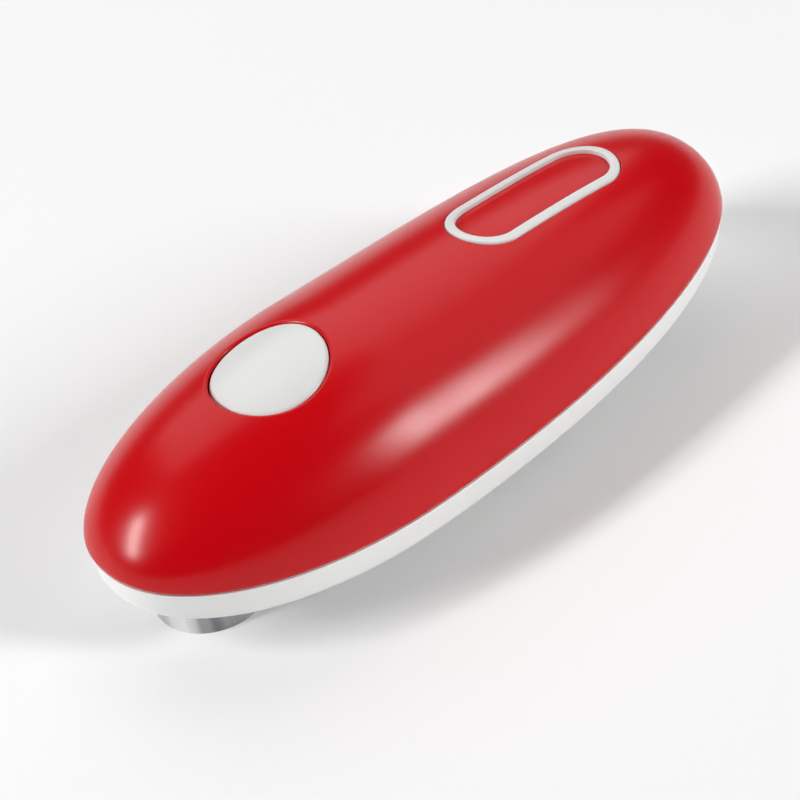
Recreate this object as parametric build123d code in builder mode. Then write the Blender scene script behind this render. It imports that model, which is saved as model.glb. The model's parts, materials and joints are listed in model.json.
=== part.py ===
"""Hand-held electric can opener: red crowned shell, white lower shell, cutter head and gearbox.

Millimetres, +Z up, nose towards -X. The origin is below the middle of the body, level with the
bottom of the cutter guard.
"""
import os
from math import atan, cos, pi, radians, sin, sqrt, tan

from build123d import *

os.makedirs("parts", exist_ok=True)

# Body shape
BODY_LENGTH = 190.0
BODY_HALF_WIDTH = 36.2
CROWN_RISE = 32.6
NOSE_REACH = 71.0
NOSE_PLAN_POWER = 2.2
TAIL_PLAN_POWER = 2.7
NOSE_CROWN_POWER = 1.7
TAIL_CROWN_POWER = 2.5
PARTING_Z = 16.0
PARTING_LIFT = 7.6
PARTING_GAP = 0.25
WALL = 2.2
STATIONS_PER_SIDE = 8
LAST_STATION_ANGLE = 89.2
CROWN_FOOT = 3.0

# Lower shell
BELLY_Z = 6.0
PAN_DEPTH = PARTING_Z - BELLY_Z
PAN_STEP = 0.3
PAN_LAND = 1.0
PAN_DRAFT = 8.0
PAN_FILLET = 4.0
PAN_CORNER_SHARE = 0.5
PAN_LEAST_CORNERS = 1.5
PAN_END_POWER = 8.0

# Fits
RUNNING_FIT = 0.05
LOOSE_FIT = 0.3
FACE_GAP = 0.2

# Push button
BUTTON_SETBACK = 51.6
BUTTON_RADIUS = 13.4
BUTTON_GAP = 0.35
BUTTON_PROUD = 0.2
BUTTON_LEAN = 2.2
BUTTON_EDGE = 1.2
BUTTON_WALL = 1.8
BUTTON_HEIGHT = 7.2
BUTTON_ROOF_DEPTH = 4.8
BUTTON_FLANGE = 2.0
BUTTON_FLANGE_THICKNESS = 1.2
BUTTON_STEM_RADIUS = 3.0
BUTTON_HOLE_EDGE = 1.2

# Trim ring
RING_SETBACK = 54.9
RING_LENGTH = 51.5
RING_WIDTH = 20.4
RING_BAND = 2.4
RING_PROUD = 0.25
RING_SEAT = 1.2
RING_EDGE = 0.4
RING_GAP = 0.2
PANEL_DEPTH = 1.0

# Cutter head
HEAD_SETBACK = 23.0
ECCENTRICITY = 3.0
GUARD_RADIUS = 14.0
GUARD_WALL = 1.2
GUARD_OPENING = 112.0
GUARD_WEB_INNER = 11.9
GUARD_WEB_THICKNESS = 1.2
GUARD_HOLE_RADIUS = 14.3
JOURNAL_RADIUS = 8.0
JOURNAL_Z = 8.0
HUB_RADIUS = 4.7
BUSH_WALL = 2.0
CARRIER_BUSH_Z = 8.6
CARRIER_BUSH_FLANGE = 1.5
SPIGOT_RADIUS = 3.0
TYRE_RADIUS = 12.0
FRICTION_DISC_RADIUS = 9.6
FRICTION_Z = 15.6
FRICTION_HEIGHT = 3.0
CUTTER_RADIUS = 9.0
CUTTER_Z = 1.6
CUTTER_THICKNESS = 1.2
CUTTER_BEVEL = 2.4
CUTTER_EDGE = 0.15
CUTTER_PIN_RADIUS = 2.0
CUTTER_PIN_HEAD_RADIUS = 3.6
CUTTER_PIN_HEAD = 1.0

# Rim drive
RIM_SPAN = 19.0
DRIVE_WHEEL_RADIUS = 6.5
DRIVE_WHEEL_Z = 2.6
DRIVE_WHEEL_HEIGHT = 3.2
SERRATIONS = 20
SERRATION_DEPTH = 0.7
DRIVE_SHAFT_RADIUS = 3.0
DRIVE_SHAFT_END_Z = 27.4
DRIVE_BUSH_FLANGE = 2.0
HEAD_PLATE_THICKNESS = 1.5
HEAD_PLATE_AHEAD = 10.4
HEAD_PLATE_BEHIND = 12.0
HEAD_PLATE_HALF_WIDTH = 14.0
HEAD_NOTCH_RADIUS = 8.6
HEAD_SCREW_BEHIND = 8.5
HEAD_SCREW_Y = 10.0

# Lid magnet
MAGNET_BEHIND = 24.5
MAGNET_RADIUS = 7.4
MAGNET_FACE_Z = 3.0
MAGNET_THICKNESS = 4.4
CUP_WALL = 1.2
CUP_FACE_Z = 3.6
MAGNET_BOSS_WALL = 2.0
MAGNET_BOSS_Z = 5.0

# Gearbox
BASE_PLATE_Z = 12.8
PLATE_THICKNESS = 1.6
BASE_PLATE_SETBACK = 0.6
BASE_PLATE_OVERHANG = 11.5
BASE_PLATE_HALF_WIDTH = 18.2
PLATE_REST_BEHIND = 0.5
PLATE_REST_Y = 9.0
PLATE_REST_RADIUS = 3.0
COVER_Z = 26.4
COVER_SETBACK = 1.0
COVER_OVERHANG = 3.6
COVER_HALF_WIDTH = 18.6
COVER_CORNER = 5.0
POST_RADIUS = 2.4
FRONT_POST_BEHIND = 8.4
FRONT_POST_Y = 16.2
REAR_POST_BEHIND = 27.4
REAR_POST_Y = 15.6
PRESSURE_ANGLE = 25.0
ADDENDUM = 0.8
DEDENDUM = 1.05
BACKLASH = 0.08
TOOTH_LEVEL_Z = 15.0
TOOTH_WIDTH = 3.0
TOOTH_LEVEL_STEP = 3.6
FINAL_MODULE = 0.8
FINAL_TEETH = 40
SECOND_MODULE = 0.6
SECOND_TEETH = 40
FIRST_MODULE = 0.5
FIRST_TEETH = 45
PINION_TEETH = 10
MOTOR_PINION_TEETH = 9
AXLE_RADIUS = 1.5
GEAR_HUB_RADIUS = 3.0

# Motor
MOTOR_RADIUS = 10.0
MOTOR_FLATS = 15.0
MOTOR_Z = 19.8
MOTOR_CAN_TOP_Z = 38.6
MOTOR_CAP_TOP_Z = 43.4
MOTOR_CAP_RADIUS = 9.4
MOTOR_CAP_STEP = 1.2
MOTOR_BOSS_RADIUS = 3.0
MOTOR_SHAFT_RADIUS = 1.0
MOTOR_SHAFT_LENGTH = 15.0
BRACKET_THICKNESS = 1.4
BRACKET_HALF_LENGTH = 10.4
BRACKET_HALF_WIDTH = 17.0
BRACKET_LEGS_BEHIND = (-5.1, 8.1)
BRACKET_LEG_Y = 14.0

# Switch
SWITCH_LENGTH = 12.8
SWITCH_WIDTH = 5.8
SWITCH_HEIGHT = 5.0
SWITCH_BRACKET_THICKNESS = 1.4
SWITCH_BRACKET_SIZE = (20.0, 10.0)
PLUNGER_RADIUS = 1.2
PLUNGER_DEPTH = 3.0
PLUNGER_RISE = 1.8

# Batteries
CELL_RADIUS = 7.1
CELL_LENGTH = 49.5
CELL_NUB_RADIUS = 2.7
CELL_NUB = 1.0
CELL_Z = 20.5
CELL_SIDE_GAP = 0.2
CELL_PLAY = 0.6
BAY_CLEARANCE = 1.0
BAY_WALL = 1.6
BAY_TOP_Z = 29.0
CONTACT_REACH = 3.85
CONTACT_THICKNESS = 0.5
CONTACT_SIZE = 11.0
CONTACT_BUMP_RADIUS = 2.6
COVER_GAP = 0.3
THUMB_NOTCH_SETBACK = 9.0
THUMB_NOTCH_RADIUS = 24.0
THUMB_NOTCH_DEPTH = 1.1

# Screws
FRONT_SCREW_SETBACK = 37.0
FRONT_SCREW_Y = 23.0
MIDDLE_SCREW_BEHIND = 12.5
MIDDLE_SCREW_Y = 26.0
REAR_SCREW_SETBACK = 39.0
REAR_SCREW_GAP = 0.9
CASE_BOSS_RADIUS = 4.0
CASE_SCREW_RADIUS = 1.5
CASE_SCREW_HEAD_RADIUS = 2.8
CASE_SCREW_HEAD = 1.8
CASE_SCREW_SINK = 3.0
CASE_SCREW_BITE = 8.0
SMALL_SCREW_RADIUS = 1.1
SMALL_SCREW_HEAD_RADIUS = 2.1
SMALL_SCREW_HEAD = 0.9
SMALL_SCREW_BITE = 6.0
RIVET_RADIUS = 0.8
RIVET_HEAD_RADIUS = 1.4
RIVET_HEAD = 0.6
RIVET_CIRCLE = 12.8
RIVET_ANGLES = (90.0, 180.0, 270.0)

# Places along the body that follow from the sizes above
NOSE_X = -BODY_LENGTH / 2
TAIL_X = BODY_LENGTH / 2
WIDEST_X = NOSE_X + NOSE_REACH
BUTTON_X = NOSE_X + BUTTON_SETBACK
RING_X = TAIL_X - RING_SETBACK
CARRIER_AXIS = (NOSE_X + HEAD_SETBACK, 0.0)
CUTTER_AXIS = (CARRIER_AXIS[0] - ECCENTRICITY, 0.0)
DRIVE_AXIS = (CARRIER_AXIS[0] + RIM_SPAN, 0.0)
SECOND_AXIS = (DRIVE_AXIS[0] + FINAL_MODULE * (FINAL_TEETH + PINION_TEETH) / 2, 0.0)
FIRST_AXIS = (SECOND_AXIS[0] + SECOND_MODULE * (SECOND_TEETH + PINION_TEETH) / 2, 0.0)
MOTOR_AXIS = (FIRST_AXIS[0] + FIRST_MODULE * (FIRST_TEETH + MOTOR_PINION_TEETH) / 2, 0.0)
MAGNET_X = DRIVE_AXIS[0] + MAGNET_BEHIND
HEAD_PLATE_FRONT_X = DRIVE_AXIS[0] - HEAD_PLATE_AHEAD
HEAD_PLATE_REAR_X = DRIVE_AXIS[0] + HEAD_PLATE_BEHIND
HEAD_SCREW = (DRIVE_AXIS[0] + HEAD_SCREW_BEHIND, HEAD_SCREW_Y)
BASE_PLATE_FRONT_X = CARRIER_AXIS[0] + BASE_PLATE_SETBACK
BASE_PLATE_REAR_X = MOTOR_AXIS[0] + BASE_PLATE_OVERHANG
PLATE_REST = (MOTOR_AXIS[0] + PLATE_REST_BEHIND, PLATE_REST_Y)
COVER_FRONT_X = CARRIER_AXIS[0] + COVER_SETBACK
COVER_REAR_X = FIRST_AXIS[0] + COVER_OVERHANG
FRONT_POST = (CARRIER_AXIS[0] + FRONT_POST_BEHIND, FRONT_POST_Y)
REAR_POST = (DRIVE_AXIS[0] + REAR_POST_BEHIND, REAR_POST_Y)
BRACKET_LEGS = [(MOTOR_AXIS[0] + behind, BRACKET_LEG_Y) for behind in BRACKET_LEGS_BEHIND]
BAY_FRONT_X = BASE_PLATE_REAR_X + BAY_CLEARANCE + BAY_WALL
CELL_FRONT_X = BAY_FRONT_X + CONTACT_REACH
CELL_REAR_X = CELL_FRONT_X + CELL_LENGTH + CELL_NUB
BAY_REAR_X = CELL_REAR_X + CONTACT_REACH
CELL_Y = CELL_RADIUS + CELL_SIDE_GAP
BAY_HALF_WIDTH = CELL_Y + CELL_RADIUS + CELL_PLAY
THUMB_NOTCH_X = BAY_REAR_X - THUMB_NOTCH_SETBACK
FRONT_SCREW = (NOSE_X + FRONT_SCREW_SETBACK, FRONT_SCREW_Y)
MIDDLE_SCREW = (MOTOR_AXIS[0] + MIDDLE_SCREW_BEHIND, MIDDLE_SCREW_Y)
REAR_SCREW = (TAIL_X - REAR_SCREW_SETBACK, BAY_HALF_WIDTH + BAY_WALL + CASE_BOSS_RADIUS + REAR_SCREW_GAP)

# Heights and radii that follow from the sizes above
BASE_PLATE_TOP_Z = BASE_PLATE_Z + PLATE_THICKNESS
COVER_TOP_Z = COVER_Z + PLATE_THICKNESS
HEAD_PLATE_TOP_Z = BELLY_Z + HEAD_PLATE_THICKNESS
FINAL_LEVEL_Z = TOOTH_LEVEL_Z + 2 * TOOTH_LEVEL_STEP
SECOND_LEVEL_Z = TOOTH_LEVEL_Z + TOOTH_LEVEL_STEP
SWITCH_Z = COVER_TOP_Z + SWITCH_BRACKET_THICKNESS
PLUNGER_TOP_Z = SWITCH_Z + SWITCH_HEIGHT + PLUNGER_RISE
MAGNET_CUP_TOP_Z = MAGNET_FACE_Z + MAGNET_THICKNESS + CUP_WALL
FIRST_CLEARANCE_RADIUS = SECOND_MODULE * PINION_TEETH / 2 + SECOND_MODULE + LOOSE_FIT
FRICTION_HUB_RADIUS = RIM_SPAN - TYRE_RADIUS - RUNNING_FIT
FOOT = (Align.CENTER, Align.CENTER, Align.MIN)


def parting_z(x):
    """Height of the parting line, which rises towards both ends."""
    return PARTING_Z + PARTING_LIFT * (x / TAIL_X) ** 2


def share(run, power):
    """Part of the full size that is left after a run of 0 to 1 towards an end."""
    return (1.0 - run**power) ** (1.0 / power)


def crown_top_z(x):
    """Height of the crown's ridge."""
    if x < WIDEST_X:
        return parting_z(x) + CROWN_RISE * share((WIDEST_X - x) / NOSE_REACH, NOSE_CROWN_POWER)
    return parting_z(x) + CROWN_RISE * share((x - WIDEST_X) / (TAIL_X - WIDEST_X), TAIL_CROWN_POWER)


def stations(end_inset):
    """Places along the body, close together at the ends, with the run towards the end and the side."""
    nose_reach = WIDEST_X - NOSE_X - end_inset
    tail_reach = TAIL_X - WIDEST_X - end_inset
    angles = [LAST_STATION_ANGLE * step / STATIONS_PER_SIDE for step in range(STATIONS_PER_SIDE + 1)]
    runs = [sin(radians(angle)) for angle in angles]
    nose = [(WIDEST_X - nose_reach * run, run, True) for run in reversed(runs[1:])]
    tail = [(WIDEST_X + tail_reach * run, run, False) for run in runs]
    return nose + tail


def crown(inset=0.0):
    """Solid under the crown skin, moved inwards by inset, with a straight foot below the parting line."""
    with BuildPart() as body:
        for x, run, on_nose in stations(inset):
            half = (BODY_HALF_WIDTH - inset) * share(run, NOSE_PLAN_POWER if on_nose else TAIL_PLAN_POWER)
            rise = (CROWN_RISE - inset) * share(run, NOSE_CROWN_POWER if on_nose else TAIL_CROWN_POWER)
            with BuildSketch(Plane(origin=(x, 0, parting_z(x)), x_dir=(0, 1, 0), z_dir=(1, 0, 0))):
                with BuildLine():
                    EllipticalCenterArc((0, 0), half, rise, arc_size=180)
                    Polyline((-half, 0), (-half, -CROWN_FOOT), (half, -CROWN_FOOT), (half, 0))
                make_face()
        loft()
    return body.part


def above_parting():
    """Side view of what lies above the parting line."""
    reach = TAIL_X + WALL
    with BuildSketch(Plane.XZ) as profile:
        with BuildLine():
            ThreePointArc((-reach, parting_z(reach)), (0, PARTING_Z), (reach, parting_z(reach)))
            Polyline(
                (reach, parting_z(reach)),
                (reach, 2 * CROWN_RISE),
                (-reach, 2 * CROWN_RISE),
                (-reach, parting_z(reach)),
            )
        make_face()
    return profile.sketch


def pan(inset=0.0, rim=-PARTING_GAP):
    """Solid of the lower shell, moved inwards by inset, its top at rim above the parting line."""
    with BuildPart() as body:
        for x, run, on_nose in stations(PAN_STEP + inset):
            half = BODY_HALF_WIDTH - PAN_STEP - inset
            half *= share(run, NOSE_PLAN_POWER if on_nose else TAIL_PLAN_POWER)
            depth = (PAN_DEPTH - inset) * share(run, PAN_END_POWER)
            corner_width = min(PAN_FILLET, PAN_CORNER_SHARE * half)
            corner_height = min(PAN_FILLET, PAN_CORNER_SHARE * depth)
            draft_run = (depth - corner_height) * tan(radians(PAN_DRAFT))
            low = half - min(draft_run, half - PAN_LEAST_CORNERS * corner_width)
            with BuildSketch(Plane(origin=(x, 0, parting_z(x)), x_dir=(0, 1, 0), z_dir=(1, 0, 0))):
                with BuildLine():
                    floor_half = low - corner_width
                    Line((-floor_half, -depth), (floor_half, -depth))
                    EllipticalCenterArc(
                        (floor_half, corner_height - depth), corner_width, corner_height, -90, arc_size=90
                    )
                    Polyline((low, corner_height - depth), (half, -PAN_LAND), (half, rim))
                    Line((half, rim), (-half, rim))
                    Polyline((-half, rim), (-half, -PAN_LAND), (-low, corner_height - depth))
                    EllipticalCenterArc(
                        (-floor_half, corner_height - depth), corner_width, corner_height, 180, arc_size=90
                    )
                make_face()
        loft()
    return body.part


def disc(at, radius, low_z, high_z, mode=Mode.ADD):
    """Upright cylinder between two heights."""
    with Locations((at[0], at[1], low_z)):
        Cylinder(radius, high_z - low_z, align=FOOT, mode=mode)


def block(low_x, high_x, half_width, low_z, high_z, mode=Mode.ADD):
    """Box between two stations and two heights, centred across the body."""
    with Locations(((low_x + high_x) / 2, 0, low_z)):
        Box(high_x - low_x, 2 * half_width, high_z - low_z, align=FOOT, mode=mode)


def rod(low_x, y, radius, length):
    """Cylinder along the body at the height of the cells."""
    with Locations(Plane(origin=(low_x, y, CELL_Z), z_dir=(1, 0, 0))):
        Cylinder(radius, length, align=FOOT)


def ring_slot(length, width, depth):
    """Racetrack-shaped pocket round the bare panel, down to a depth below the crown."""
    with BuildPart() as pocket:
        with BuildSketch(Plane.XY.offset(CROWN_RISE)):
            with Locations((RING_X, 0)):
                SlotOverall(length, width)
        extrude(amount=CROWN_RISE)
        add(crown().moved(Location((0, 0, -depth))), mode=Mode.SUBTRACT)
    return pocket.part


def mirrored(at):
    """A place and its twin on the other side of the body."""
    return ((at[0], at[1]), (at[0], -at[1]))


def toothed(module, teeth, at, first_tooth, low_z, high_z):
    """Involute gear with backlash between two heights, one tooth pointing at first_tooth degrees."""
    pitch_radius = module * teeth / 2
    base_radius = pitch_radius * cos(radians(PRESSURE_ANGLE))
    root_radius = pitch_radius - DEDENDUM * module
    half_tooth = pi / (2 * teeth) - BACKLASH * module / pitch_radius
    half_tooth += tan(radians(PRESSURE_ANGLE)) - radians(PRESSURE_ANGLE)
    flank = [(root_radius, half_tooth)] if root_radius < base_radius else []
    for radius in (max(base_radius, root_radius), pitch_radius, pitch_radius + ADDENDUM * module):
        roll = sqrt(radius**2 - base_radius**2) / base_radius if radius > base_radius else 0.0
        flank.append((radius, half_tooth - roll + atan(roll)))
    points = []
    for tooth in range(teeth):
        middle = radians(first_tooth) + 2 * pi * tooth / teeth
        side = [(radius, middle - angle) for radius, angle in flank]
        side += [(radius, middle + angle) for radius, angle in reversed(flank)]
        points += [(at[0] + radius * cos(angle), at[1] + radius * sin(angle)) for radius, angle in side]
    with BuildPart() as body:
        with BuildSketch(Plane.XY.offset(low_z)):
            with BuildLine():
                Polyline(*points, close=True)
            make_face()
        extrude(amount=high_z - low_z)
    return body.part


def wheel(module, teeth, at, low_z):
    """Toothed wheel on the nose side of its pinion, with a gap facing the pinion's tooth."""
    return toothed(module, teeth, at, 180.0 / teeth, low_z, low_z + TOOTH_WIDTH)


def pinion(module, teeth, at, low_z, high_z):
    """Pinion with a tooth on the line to the wheel on its nose side."""
    return toothed(module, teeth, at, 180.0, low_z, high_z)


def screw(at, radius, head_radius, head, seat_z, tip_z):
    """Upright screw with its head below the face that it seats on."""
    with BuildPart() as body:
        disc(at, head_radius, seat_z - head, seat_z)
        disc(at, radius, seat_z, tip_z)
    return body.part


def small_screw(at, seat_z, tip_z):
    """Screw of the head and the gearbox."""
    return screw(at, SMALL_SCREW_RADIUS, SMALL_SCREW_HEAD_RADIUS, SMALL_SCREW_HEAD, seat_z, tip_z)


def rivet_places():
    """Rivets that hold the guard's web to the base plate."""
    turns = [radians(angle) for angle in RIVET_ANGLES]
    return [(CARRIER_AXIS[0] + RIVET_CIRCLE * cos(turn), RIVET_CIRCLE * sin(turn)) for turn in turns]


def belly_z(x):
    """Height of the lower shell's outer face."""
    return parting_z(x) - PAN_DEPTH


CASE_SCREWS = mirrored(FRONT_SCREW) + mirrored(MIDDLE_SCREW) + mirrored(REAR_SCREW)
BUTTON_TOP_Z = crown_top_z(BUTTON_X)
BUTTON_FLANGE_Z = BUTTON_TOP_Z - BUTTON_HEIGHT
BUTTON_ROOF_Z = BUTTON_TOP_Z - BUTTON_ROOF_DEPTH

# Top shell
with BuildPart() as case_posts:
    for place in CASE_SCREWS:
        disc(place, CASE_BOSS_RADIUS, parting_z(place[0]), parting_z(place[0]) + CROWN_RISE)
    add(crown(WALL / 2), mode=Mode.INTERSECT)

pocket_length = RING_LENGTH + 2 * RING_GAP
pocket_width = RING_WIDTH + 2 * RING_GAP
with BuildPart() as ring_groove:
    add(ring_slot(pocket_length, pocket_width, RING_SEAT))
    with BuildSketch() as groove_island:
        with Locations((RING_X, 0)):
            SlotOverall(RING_LENGTH - 2 * RING_BAND - 2 * RING_GAP, RING_WIDTH - 2 * RING_BAND - 2 * RING_GAP)
    extrude(amount=2 * CROWN_RISE, mode=Mode.SUBTRACT)

with BuildPart() as top_shell:
    add(crown())
    extrude(above_parting(), amount=2 * BODY_HALF_WIDTH, both=True, mode=Mode.INTERSECT)
    add(crown(WALL), mode=Mode.SUBTRACT)
    add(case_posts.part)
    for place in CASE_SCREWS:
        disc(place, CASE_SCREW_RADIUS, 0, parting_z(place[0]) + CASE_SCREW_BITE, mode=Mode.SUBTRACT)
    disc((BUTTON_X, 0), BUTTON_RADIUS + BUTTON_GAP, BUTTON_FLANGE_Z, 2 * CROWN_RISE, mode=Mode.SUBTRACT)
    hole_rim = top_shell.edges(Select.LAST).filter_by(GeomType.BSPLINE).sort_by(Axis.Z)[-1]
    fillet(hole_rim, radius=BUTTON_HOLE_EDGE)
    add(ring_slot(pocket_length, pocket_width, PANEL_DEPTH), mode=Mode.SUBTRACT)
    add(ring_groove.part, mode=Mode.SUBTRACT)
top_shell.part.label = "top_shell"
export_step(top_shell.part, "parts/top_shell.step")

# Trim ring around the bare panel
with BuildPart() as trim_ring:
    add(ring_slot(RING_LENGTH, RING_WIDTH, RING_SEAT))
    add(crown().moved(Location((0, 0, RING_PROUD))), mode=Mode.INTERSECT)
    with BuildSketch() as ring_inside:
        with Locations((RING_X, 0)):
            SlotOverall(RING_LENGTH - 2 * RING_BAND, RING_WIDTH - 2 * RING_BAND)
    extrude(amount=2 * CROWN_RISE, mode=Mode.SUBTRACT)
    fillet(trim_ring.faces().sort_by(Axis.Z)[-1].edges(), radius=RING_EDGE)
trim_ring.part.label = "trim_ring"
export_step(trim_ring.part, "parts/trim_ring.step")

# Push button: crowned cap with a flange under the shell and a stem on the switch
with BuildPart() as push_button:
    disc((BUTTON_X, 0), BUTTON_RADIUS, BUTTON_FLANGE_Z, 2 * CROWN_RISE)
    lean_axis = Axis((BUTTON_X, 0, BUTTON_TOP_Z), (0, 1, 0))
    add(crown().moved(Location((0, 0, BUTTON_PROUD))).rotate(lean_axis, -BUTTON_LEAN), mode=Mode.INTERSECT)
    fillet(push_button.faces().sort_by(Axis.Z)[-1].edges(), radius=BUTTON_EDGE)
    flange_top_z = BUTTON_FLANGE_Z + BUTTON_FLANGE_THICKNESS
    disc((BUTTON_X, 0), BUTTON_RADIUS + BUTTON_FLANGE, BUTTON_FLANGE_Z, flange_top_z)
    disc((BUTTON_X, 0), BUTTON_RADIUS - BUTTON_WALL, BUTTON_FLANGE_Z, BUTTON_ROOF_Z, mode=Mode.SUBTRACT)
    disc((BUTTON_X, 0), BUTTON_STEM_RADIUS, PLUNGER_TOP_Z, BUTTON_ROOF_Z)
push_button.part.label = "push_button"
export_step(push_button.part, "parts/push_button.step")

# Bottom shell
with BuildPart() as shell_ribs:
    for place in CASE_SCREWS:
        disc(place, CASE_BOSS_RADIUS, 0, parting_z(place[0]) - PARTING_GAP)
    for place in mirrored(PLATE_REST):
        disc(place, PLATE_REST_RADIUS, 0, BASE_PLATE_Z)
    block(BAY_FRONT_X - BAY_WALL, BAY_REAR_X + BAY_WALL, BAY_HALF_WIDTH + BAY_WALL, 0, BAY_TOP_Z)
    block(BAY_FRONT_X, BAY_REAR_X, BAY_HALF_WIDTH, 0, BAY_TOP_Z, mode=Mode.SUBTRACT)
    add(pan(0, BAY_TOP_Z), mode=Mode.INTERSECT)

with BuildPart() as plain_pan:
    add(pan())
    add(pan(WALL, WALL), mode=Mode.SUBTRACT)

with BuildPart() as bottom_shell:
    add(plain_pan.part)
    add(shell_ribs.part)
    block(HEAD_PLATE_FRONT_X, HEAD_PLATE_REAR_X, HEAD_PLATE_HALF_WIDTH, HEAD_PLATE_TOP_Z, BASE_PLATE_Z)
    boss_radius = MAGNET_RADIUS + CUP_WALL + MAGNET_BOSS_WALL
    disc((MAGNET_X, 0), boss_radius, MAGNET_BOSS_Z, MAGNET_CUP_TOP_Z + CUP_WALL)
    block(
        HEAD_PLATE_FRONT_X - FACE_GAP,
        HEAD_PLATE_REAR_X + FACE_GAP,
        HEAD_PLATE_HALF_WIDTH + FACE_GAP,
        0,
        HEAD_PLATE_TOP_Z,
        mode=Mode.SUBTRACT,
    )
    disc(CARRIER_AXIS, GUARD_HOLE_RADIUS, 0, PARTING_Z, mode=Mode.SUBTRACT)
    disc(DRIVE_AXIS, DRIVE_SHAFT_RADIUS + BUSH_WALL + LOOSE_FIT, 0, PARTING_Z, mode=Mode.SUBTRACT)
    disc((MAGNET_X, 0), MAGNET_RADIUS + CUP_WALL, 0, MAGNET_CUP_TOP_Z, mode=Mode.SUBTRACT)
    block(BAY_FRONT_X, BAY_REAR_X, BAY_HALF_WIDTH, 0, PARTING_Z, mode=Mode.SUBTRACT)
    for place in CASE_SCREWS:
        disc(place, CASE_SCREW_RADIUS, 0, 2 * PARTING_Z, mode=Mode.SUBTRACT)
        sink_z = belly_z(place[0]) + CASE_SCREW_SINK
        disc(place, CASE_SCREW_HEAD_RADIUS + FACE_GAP, 0, sink_z, mode=Mode.SUBTRACT)
    for place in mirrored(HEAD_SCREW):
        disc(place, SMALL_SCREW_RADIUS, 0, PARTING_Z, mode=Mode.SUBTRACT)
bottom_shell.part.label = "bottom_shell"
export_step(bottom_shell.part, "parts/bottom_shell.step")

# Battery cover in the belly
with BuildPart() as battery_cover:
    add(plain_pan.part)
    block(
        BAY_FRONT_X + COVER_GAP,
        BAY_REAR_X - COVER_GAP,
        BAY_HALF_WIDTH - COVER_GAP,
        0,
        PARTING_Z,
        mode=Mode.INTERSECT,
    )
    with Locations((THUMB_NOTCH_X, 0, belly_z(THUMB_NOTCH_X) + THUMB_NOTCH_DEPTH - THUMB_NOTCH_RADIUS)):
        Sphere(THUMB_NOTCH_RADIUS, mode=Mode.SUBTRACT)
battery_cover.part.label = "battery_cover"
export_step(battery_cover.part, "parts/battery_cover.step")

# Cutter guard: round wall, open towards the drive wheel, with a web under the base plate
with BuildPart() as cutter_guard:
    disc(CARRIER_AXIS, GUARD_RADIUS, 0, BASE_PLATE_Z)
    disc(CARRIER_AXIS, GUARD_RADIUS - GUARD_WALL, 0, BASE_PLATE_Z - GUARD_WEB_THICKNESS, mode=Mode.SUBTRACT)
    disc(CARRIER_AXIS, GUARD_WEB_INNER, 0, BASE_PLATE_Z, mode=Mode.SUBTRACT)
    with BuildSketch() as gap:
        with Locations(CARRIER_AXIS):
            reach = 2 * GUARD_RADIUS
            half_gap = radians(GUARD_OPENING / 2)
            side_x = reach * cos(half_gap)
            side_y = reach * sin(half_gap)
            far_side = ((side_x, -side_y), (reach, -side_y), (reach, side_y), (side_x, side_y))
            Polygon((0, 0), *far_side, align=None)
    extrude(amount=BASE_PLATE_Z, mode=Mode.SUBTRACT)
    for place in rivet_places():
        disc(place, RIVET_RADIUS, 0, BASE_PLATE_Z, mode=Mode.SUBTRACT)
cutter_guard.part.label = "cutter_guard"
export_step(cutter_guard.part, "parts/cutter_guard.step")

with BuildPart() as guard_rivets:
    for place in rivet_places():
        disc(place, RIVET_RADIUS, BASE_PLATE_Z - GUARD_WEB_THICKNESS, BASE_PLATE_TOP_Z)
        disc(place, RIVET_HEAD_RADIUS, BASE_PLATE_TOP_Z, BASE_PLATE_TOP_Z + RIVET_HEAD)
guard_rivets.part.label = "guard_rivets"
export_step(guard_rivets.part, "parts/guard_rivets.step")

# Base plate of the gearbox
with BuildPart() as base_plate:
    disc(CARRIER_AXIS, GUARD_RADIUS - FACE_GAP / 2, BASE_PLATE_Z, BASE_PLATE_TOP_Z)
    block(BASE_PLATE_FRONT_X, BASE_PLATE_REAR_X, BASE_PLATE_HALF_WIDTH, BASE_PLATE_Z, BASE_PLATE_TOP_Z)
    disc(CARRIER_AXIS, JOURNAL_RADIUS + BUSH_WALL, 0, BASE_PLATE_TOP_Z, mode=Mode.SUBTRACT)
    disc(DRIVE_AXIS, DRIVE_SHAFT_RADIUS + BUSH_WALL, 0, BASE_PLATE_TOP_Z, mode=Mode.SUBTRACT)
    for place in (SECOND_AXIS, FIRST_AXIS):
        disc(place, AXLE_RADIUS, 0, BASE_PLATE_TOP_Z, mode=Mode.SUBTRACT)
    for place in rivet_places():
        disc(place, RIVET_RADIUS, 0, BASE_PLATE_TOP_Z, mode=Mode.SUBTRACT)
    for spot in (FRONT_POST, REAR_POST, HEAD_SCREW, *BRACKET_LEGS):
        for place in mirrored(spot):
            disc(place, SMALL_SCREW_RADIUS, 0, BASE_PLATE_TOP_Z, mode=Mode.SUBTRACT)
base_plate.part.label = "base_plate"
export_step(base_plate.part, "parts/base_plate.step")

# Cutter carrier: journal in its bush, eccentric hub for the cutting wheel, spigot for the friction disc
with BuildPart() as carrier_bush:
    disc(CARRIER_AXIS, JOURNAL_RADIUS + BUSH_WALL, CARRIER_BUSH_Z, BASE_PLATE_TOP_Z)
    flange_radius = JOURNAL_RADIUS + BUSH_WALL + CARRIER_BUSH_FLANGE
    disc(CARRIER_AXIS, flange_radius, BASE_PLATE_Z - CARRIER_BUSH_FLANGE, BASE_PLATE_Z)
    disc(CARRIER_AXIS, JOURNAL_RADIUS + RUNNING_FIT, 0, BASE_PLATE_TOP_Z, mode=Mode.SUBTRACT)
carrier_bush.part.label = "carrier_bush"
export_step(carrier_bush.part, "parts/carrier_bush.step")

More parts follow.
